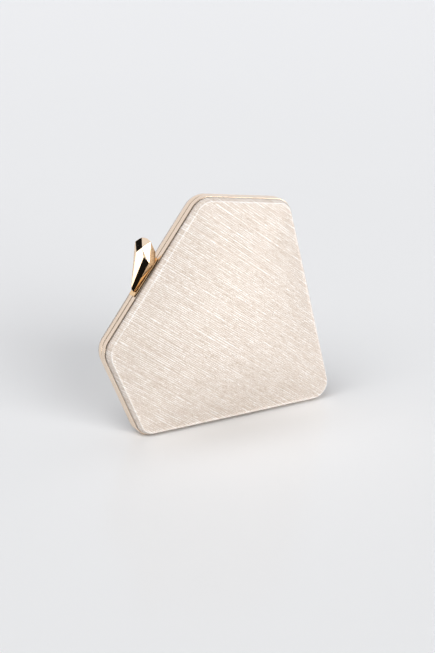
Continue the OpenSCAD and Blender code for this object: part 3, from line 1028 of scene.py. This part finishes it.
def makeGem():
    foot = crown + (latch["footGap"] + latch["footThick"])
    work = bmesh.new()
    for a, b, c in gemCorners:
        for way in ((-1, 1) if b else (1,)):
            work.verts.new((
                gem["shift"] + (a - 0.5) * gem["length"], way * b * gem["width"] / 2,
                foot + c * gem["height"],
            ))
    bmesh.ops.convex_hull(work, input=work.verts)
    bmesh.ops.dissolve_limit(
        work, angle_limit=radians(gem["flatAngle"]), verts=work.verts, edges=work.edges
    )
    bmesh.ops.recalc_face_normals(work, faces=work.faces)
    obj = newObject("claspGem", [], [], gemGold)
    work.to_mesh(obj.data)
    work.free()
    soften = obj.modifiers.new("softEdges", "BEVEL")
    soften.width, soften.segments, soften.limit_method = gem["bevel"], gem["bevelSteps"], "ANGLE"
    soften.angle_limit = radians(gem["edgeAngle"])
    soften.harden_normals = True
    plainMesh(allSmooth(obj))
    obj.data.transform(stand)
    return finishPiece(obj, "clasp", ["clasp_gem"])


claspGem = makeGem()
print("gem made:", len(claspGem.data.polygons))


def makeCopyTree():
    # Puts a copy of a small form on every point, turned by the point's own angles
    start, given = newTree("copiesOnPoints", {"Form": "Object"})
    form = start.add("GeometryNodeObjectInfo", {"Object": given["Form"]}, out="Geometry")
    angle = start.add(
        "GeometryNodeInputNamedAttribute", {"Name": "turn"}, {"data_type": "FLOAT_VECTOR"}
    )
    values = {"Points": start, "Instance": form, "Rotation": angle}
    shape = start.add("GeometryNodeInstanceOnPoints", values)
    return endTree(shape, given)


def makeWireTree():
    # Round wire along a path
    start, given = newTree("springWire", {"Radius": "Float", "Sides": "Int"})
    path = start.add("GeometryNodeMeshToCurve", {"Mesh": start})
    ring = start.add("GeometryNodeCurvePrimitiveCircle", {
        "Resolution": given["Sides"], "Radius": given["Radius"],
    })
    shape = start.add("GeometryNodeCurveToMesh", {
        "Curve": path, "Profile Curve": ring, "Fill Caps": True,
    })
    return endTree(shape, given)


copyTree = makeCopyTree()
wireTree = makeWireTree()


def copiesAt(name, points, turns, form, finish):
    obj = newObject(name, points, [], None)
    angle = obj.data.attributes.new("turn", "FLOAT_VECTOR", "POINT")
    angle.data.foreach_set("vector", [c for t in turns for c in t])
    grow(obj, copyTree, {"Form": form, "Finish": finish})
    dropObject(form)
    return rightWayOut(obj)


def turnedForm(profile, steps, poles):
    # A solid of revolution about z from (radius, height) pairs, closed by a point at each end
    vertices = []
    for r, z in profile:
        for k in range(steps):
            a = 2 * pi * k / steps
            vertices.append((r * cos(a), r * sin(a), z))
    faces = []
    for j in range(len(profile) - 1):
        ring, above = j * steps, (j + 1) * steps
        for k in range(steps):
            after = (k + 1) % steps
            faces.append((ring + k, ring + after, above + after, above + k))
    low, high = len(vertices), len(vertices) + 1
    vertices += [(0, 0, pole) for pole in poles]
    last = (len(profile) - 1) * steps
    faces += [(low, (k + 1) % steps, k) for k in range(steps)]
    faces += [(high, last + k, last + (k + 1) % steps) for k in range(steps)]
    return rightWayOut(newObject("form", vertices, faces, None))


rivet = {
    "shankRadius": 0.0006,
    "bite": 0.0016,
    "headRadius": 0.0011,
    "headHeight": 0.0005,
    "seatShare": 0.97,
    "rim": 0.00008,
    "endRound": 0.00002,
    "seatGap": 0.00001,
    "steps": 24,
    "domeSteps": 6,
    "sharpAngle": 40,
}


def makeRivets(name, side, body, node):
    # Domed heads on the plate inside, shanks up into the band
    head, rim, shank = rivet["headRadius"], rivet["rim"], rivet["shankRadius"]
    top = rivet["bite"] + latch["sheet"]
    profile = [
        (shank, top - rivet["endRound"]), (shank, rivet["seatGap"]),
        (head * rivet["seatShare"], 0.0), (head, -rim),
    ]
    for j in range(1, rivet["domeSteps"]):
        a = radians(90 * j / rivet["domeSteps"])
        profile.append((head * cos(a), -rim - (rivet["headHeight"] - rim) * sin(a)))
    form = turnedForm(profile, rivet["steps"], (top + rivet["seatGap"], -rivet["headHeight"]))
    seat = crown - frameWidth - latch["sheet"]
    points = [(x, side * latch["rivetY"], seat) for x in (-latch["rivetX"], latch["rivetX"])]
    obj = copiesAt(name, points, [(0, 0, 0)] * len(points), form, latchSteel)
    stoodUp(obj, rivet["sharpAngle"], body, [node])


spring = {
    "wire": 0.0002,
    "turns": 2.75,
    "steps": 30,
    "hub": 0.0008,
    "ringSides": 10,
    # How far the coil stands off the hub, and its pitch, in wire radii
    "coilShare": 1.75,
    "pitchShare": 2.25,
    "footGap": 0.00006,
    "armGap": 0.0005,
    "sharpAngle": 50,
}


def makeSpring():
    # Short leg on the bracket, two and three quarter turns round the pin, long leg on the lever
    wire = spring["wire"]
    radius = spring["hub"] + spring["coilShare"] * wire
    half = spring["turns"] * spring["pitchShare"] * wire / 2
    back, height = latch["pivotBack"], crown - latch["pivotDrop"]
    count = round(spring["turns"] * spring["steps"])
    foot = crown - frameWidth - latch["sheet"] - wire - spring["footGap"]
    points = [(-half, back - radius, foot)]
    for j in range(count + 1):
        s = j / count
        a = pi + s * spring["turns"] * 2 * pi
        points.append(((2 * s - 1) * half, back + radius * cos(a), height + radius * sin(a)))
    points.append((half, latch["shankThick"] / 2 + spring["armGap"], height + radius))
    edges = [(i, i + 1) for i in range(len(points) - 1)]
    path = newObject("latchSpring", points, [], None, edges)
    values = {"Radius": wire, "Sides": spring["ringSides"], "Finish": latchSteel}
    obj = grow(path, wireTree, values)
    smoothed(rightWayOut(obj), spring["sharpAngle"]).data.transform(stand)
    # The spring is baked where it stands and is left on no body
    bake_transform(obj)
    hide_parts("latch_spring")


ribEnd = {
    "spacing": 0.00128,
    "spacingChange": 0.3,
    "changeScale": 900,
    "length": 0.00055,
    "width": 0.0011,
    "height": 0.00024,
    "depth": 0.00495,
    "inset": 0.00096,
    "rings": (36, 72, 108, 144),
    "steps": 8,
    "sharpAngle": 60,
}


def makeRibEnds(name, side, body):
    # The ribs of the cloth end in small rounded teeth where the cover dives into the band
    points, turns, carried = [], [], 0.0
    ring = [ringPoint(p, ribEnd["inset"]) for p in places]
    for k, a in enumerate(ring):
        b = ring[(k + 1) % len(ring)]
        step = (b - a).length
        while carried < step:
            here = a.lerp(b, carried / step)
            points.append((here.x, side * ribEnd["depth"], here.y))
            turns.append((0, atan2(b.x - a.x, b.y - a.y), 0))
            change = noise.noise(Vector((here.x, here.y, side)) * ribEnd["changeScale"])
            carried += ribEnd["spacing"] * (1 + ribEnd["spacingChange"] * change)
        carried -= step
    angles = [radians(a) for a in ribEnd["rings"]]
    form = turnedForm([(sin(a), -cos(a)) for a in angles], ribEnd["steps"], (-1, 1))
    size = (ribEnd["height"], ribEnd["length"], ribEnd["width"] / 2, 1)
    form.data.transform(Matrix.Diagonal(size))
    obj = copiesAt(name, points, turns, form, cloth)
    return stoodUp(obj, ribEnd["sharpAngle"], body, [])


makeRivets("bracketRivets", 1, "back_half", "bracket_rivets")
makeRivets("catchRivets", -1, "front_half", "catch_rivets")
makeSpring()
frontRibEnds = makeRibEnds("frontRibEnds", -1, "front_half")
makeRibEnds("backRibEnds", 1, "back_half")
print("rivets, spring and rib ends made:", len(frontRibEnds.data.polygons))

for finish, nodeNames in (
    (gemGold, ("clasp_lever", "clasp_gem")),
    (bandGold, ("front_frame", "back_frame")),
    (cloth, ("front_cover", "back_cover")),
    (foam, ("front_padding", "back_padding")),
    (shellPlastic, ("front_shell", "back_shell")),
    (card, ("front_lining_board", "back_lining_board")),
    (satin, ("front_lining", "back_lining")),
    (latchSteel, (
        "hinge_pin", "latch_bracket", "latch_pivot_pin", "latch_spring", "bracket_rivets",
        "catch_tongue", "catch_rivets",
    )),
):
    for nodeName in nodeNames:
        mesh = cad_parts[nodeName].data
        mesh.materials.clear()
        mesh.materials.append(finish)

studio = {
    "middle": (0, 0, 0.07),
    "floorHalf": 12.0,
    "floorColour": (0.92, 0.925, 0.936),
    "floorRoughness": 0.2,
    "floorShine": 0.2,
    # Painted shade: the floor is a little greyer in a patch just in front of the bag
    "paintedShadeColour": (0.70, 0.695, 0.69),
    "nearHalfWidth": 0.075,
    "nearHalfDepth": 0.035,
    "nearForward": 0.02,
    "skyColour": (0.884, 0.891, 0.924),
    "roomColour": (0.86, 0.87, 0.89),
    "roomStrength": 0.2,
    "cardColour": (1, 0.99, 0.97),
    "darkGlow": 0.01,
}


def sheetOf(x, y):
    return [(-x, -y, 0), (x, -y, 0), (x, y, 0), (-x, y, 0)], [(0, 1, 2, 3)]


def makeFloor():
    material, here = startFinish("studioFloorPaint")
    x = here.add("ShaderNodeSeparateXYZ", {"Vector": here}, out="X")
    # Painted shade: a greyer patch of floor just in front of the bag
    sideways = x / studio["nearHalfWidth"]
    forwards = (x.other("Y") + studio["nearForward"]) / studio["nearHalfDepth"]
    near = here.maths("EXPONENT", 0 - (sideways * sideways + forwards * forwards))
    endFinish(here, {
        "Base Color": blendColour(here, near, studio["floorColour"], studio["paintedShadeColour"]),
        "Roughness": studio["floorRoughness"],
        "Specular IOR Level": studio["floorShine"],
    })
    half = studio["floorHalf"]
    floor = newObject("studioFloor", *sheetOf(half, half), material)


def makeAir():
    world = bpy.data.worlds.new("studioAir")
    bpy.context.scene.world = world
    world.use_nodes = True
    world.node_tree.nodes.clear()
    start = Wire(world.node_tree)
    rays = start.add("ShaderNodeLightPath", out="Is Camera Ray")
    seen = (rays + rays.other("Is Glossy Ray") + rays.other("Is Transmission Ray")).clamp()
    room = start.add("ShaderNodeBackground", {
        "Color": (*studio["roomColour"], 1), "Strength": studio["roomStrength"],
    })
    backdrop = start.add("ShaderNodeBackground", {"Color": (*studio["skyColour"], 1)})
    both = start.add("ShaderNodeMixShader", {0: seen, 1: room, 2: backdrop})
    start.add("ShaderNodeOutputWorld", {"Surface": both})


def spot(azimuth, elevation, distance):
    # A place seen from the bag: azimuth 0 straight in front, plus to the right
    a, e = radians(azimuth), radians(elevation)
    way = Vector((sin(a) * cos(e), -cos(a) * cos(e), sin(e)))
    return Vector(studio["middle"]) + distance * way


def softSun(name, azimuth, elevation, spread, strength):
    lamp = bpy.data.lights.new(name, "SUN")
    lamp.angle, lamp.energy = radians(spread), strength
    obj = linked(name, lamp)
    obj.location = spot(azimuth, elevation, 2)
    towards = Vector(studio["middle"]) - obj.location
    obj.rotation_euler = towards.to_track_quat("-Z", "Y").to_euler()
    obj.visible_glossy = False


def cardFinish(name, glow):
    # Seen from the bag's side only, so that the floor doesn't show the cards that lie on it
    material, here = startFinish(name)
    back = here.add("ShaderNodeNewGeometry", out="Backfacing")
    light = here.add(
        "ShaderNodeEmission", {"Color": (*studio["cardColour"], 1), "Strength": glow}
    )
    clear = here.add("ShaderNodeBsdfTransparent")
    both = here.add("ShaderNodeMixShader", {0: back, 1: light, 2: clear})
    here.add("ShaderNodeOutputMaterial", {"Surface": both})
    return material


def reflectedCard(name, middle, facing, width, height, glow):
    # A dark or glowing card round the bag; only reflections see it
    obj = newObject(name, *sheetOf(width / 2, height / 2), cardFinish(name, glow))
    turn = (Vector(facing) - Vector(middle)).to_track_quat("Z", "Y").to_matrix().to_4x4()
    obj.data.transform(Matrix.Translation(middle) @ turn)
    obj.visible_camera = obj.visible_diffuse = False
    obj.visible_shadow = obj.visible_transmission = False


makeFloor()
makeAir()
softSun("keyLight", azimuth=5, elevation=22, spread=40, strength=2.1)
softSun("leftLight", azimuth=-60, elevation=50, spread=45, strength=1.8)
bag, dark = studio["middle"], studio["darkGlow"]
# Each card's place, what it faces, its width and height and its glow
for name, placed in {
    "cameraWall": (spot(-22, 22, 2.4), bag, 3.4, 2.6, dark),
    "leftCard": (spot(-60, 10, 1.8), bag, 0.66, 0.56, dark),
    "topCard": (spot(-4, 54, 1.8), bag, 0.7, 0.7, dark),
    "backCard": ((-0.1, 0.5, 0.1), (-0.1, 0, 0.1), 0.2, 0.2, dark),
    "frontCard": ((-0.12, -0.29, 0.004), (-0.12, -0.29, 1), 0.3, 0.36, dark),
    "keyPanel": (spot(38, 2, 1.6), bag, 0.85, 0.35, 6.4),
    "sidePanel": (spot(71, 1, 1.4), bag, 0.4, 0.3, 1.2),
    "floorPanel": ((0.13, -0.21, 0.004), (0.13, -0.21, 1), 0.26, 0.24, 1.6),
    "leftPanel": ((-0.62, -0.52, 0.005), (-0.62, -0.52, 1), 0.8, 0.7, 2.2),
}.items():
    reflectedCard(name, *placed)

view = {
    "place": (-0.446584, -0.742616, 0.349266),
    "aim": (-0.000822, 0, 0.064474),
    "roll": 0.005,
    "lens": 76.09,
    "nearest": 0.01,
    "farthest": 60,
}
camera = bpy.data.cameras.new("photoCamera")
camera.lens = view["lens"]
camera.clip_start, camera.clip_end = view["nearest"], view["farthest"]
cameraObject = linked("photoCamera", camera)
cameraObject.location = view["place"]
aimed = (Vector(view["aim"]) - Vector(view["place"])).to_track_quat("-Z", "Y").to_matrix()
cameraObject.rotation_euler = (aimed @ Matrix.Rotation(view["roll"], 3, "Z")).to_euler()
bpy.context.scene.camera = cameraObject
bpy.context.scene.view_settings.view_transform = "Standard"
print("studio and camera set")
